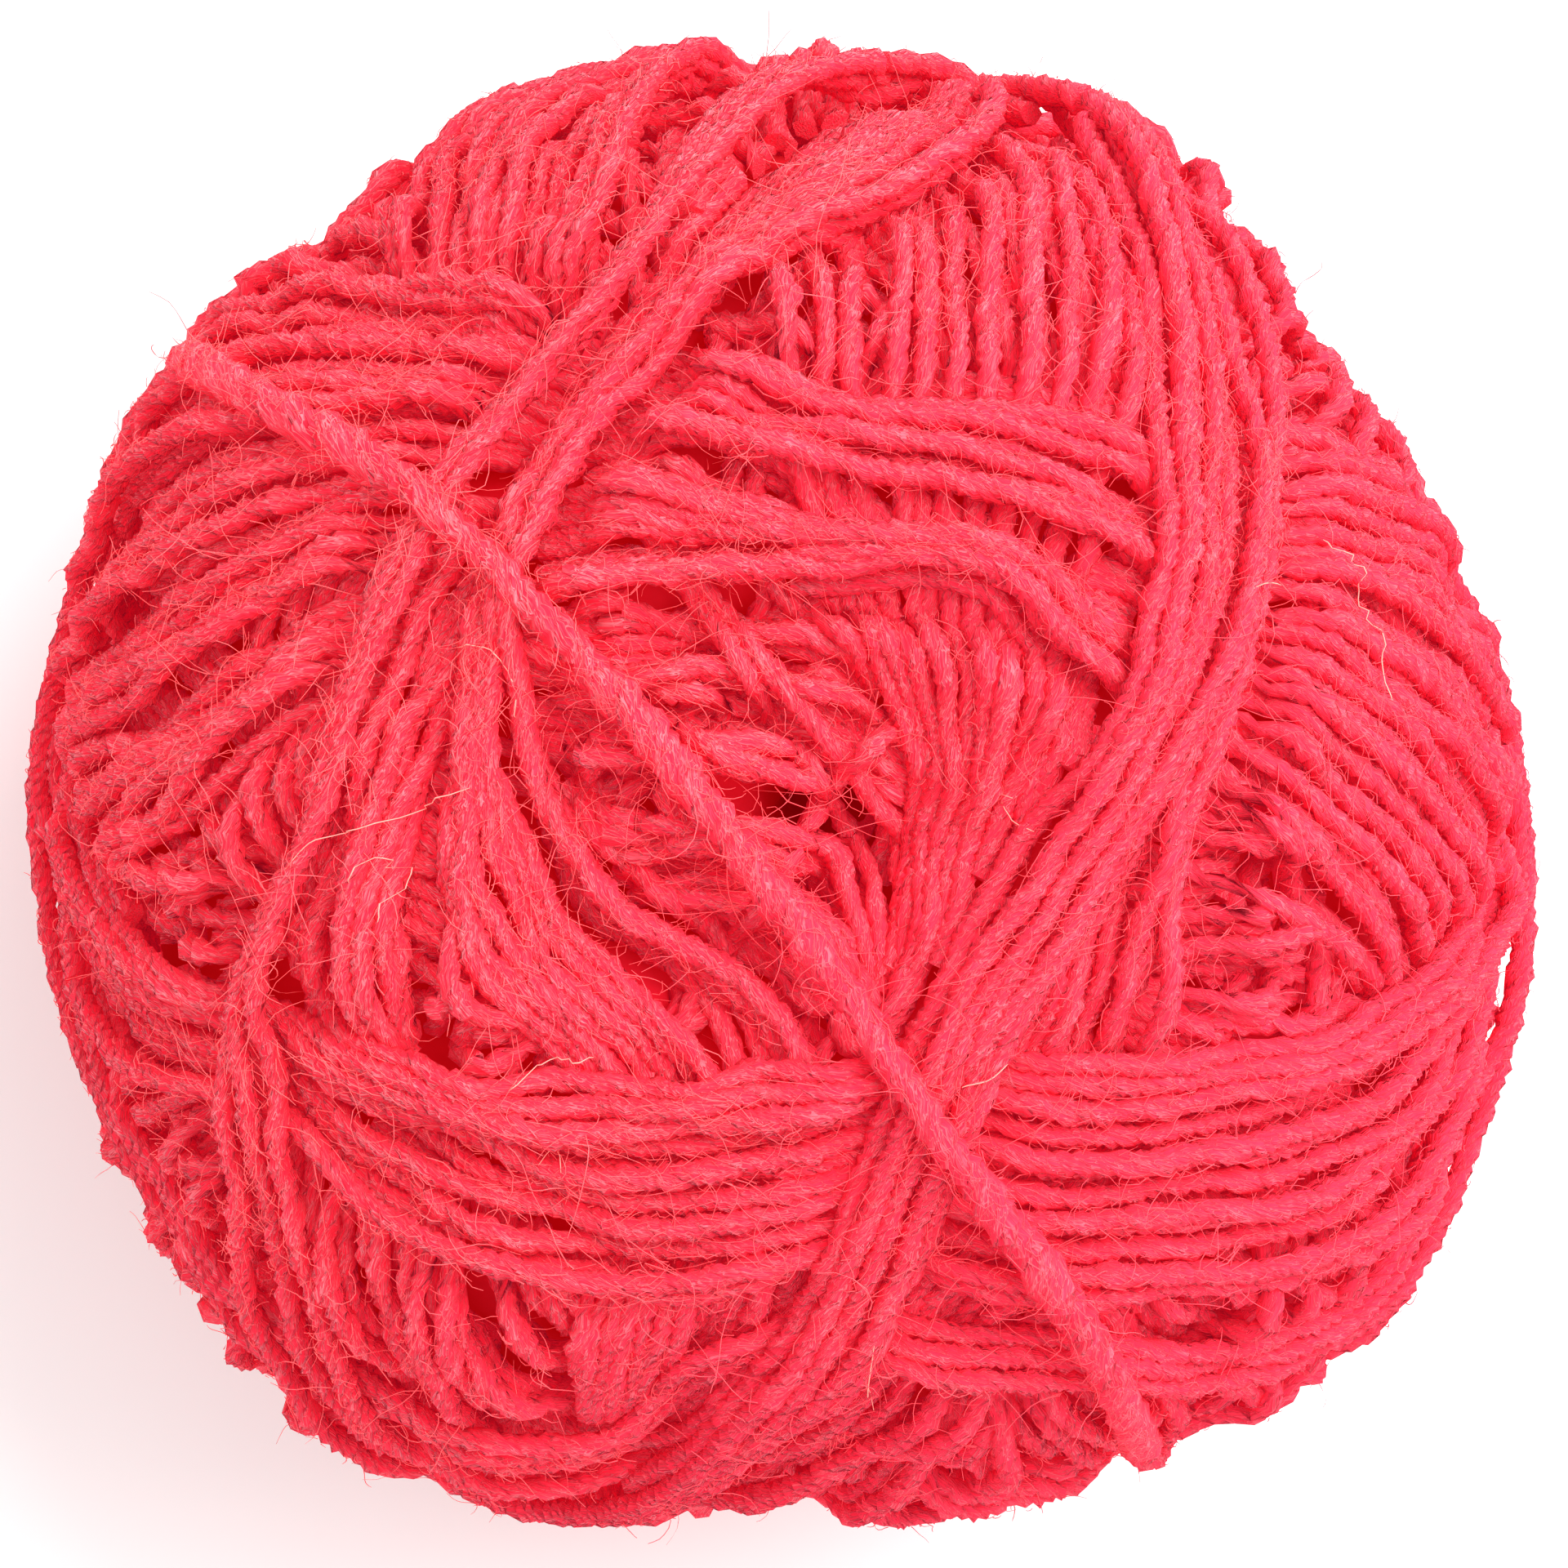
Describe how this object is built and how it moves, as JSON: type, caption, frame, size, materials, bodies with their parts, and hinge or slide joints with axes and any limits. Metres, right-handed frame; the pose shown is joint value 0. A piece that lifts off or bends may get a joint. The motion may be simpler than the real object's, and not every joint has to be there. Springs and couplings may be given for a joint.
{
  "type": "ball of wool yarn",
  "caption": "Round machine-wound ball of fuzzy coral red wool yarn, lying on one end with its centre hollow upward, from which the yarn is drawn.",
  "frame": {"origin": "middle of the flat spot that the ball rests on, under the centre of its box", "axes": "+Z up, along the ball's winding axis, out of the face with the centre hollow; +X to the right and +Y up as the face is seen"},
  "size_m": [0.0736, 0.072, 0.058],
  "materials": {
    "wool": "matt, fuzzy two-ply wool in coral red"
  },
  "bodies": {
    "root": {"yarn_ball": "wool"}
  },
  "joints": []
}
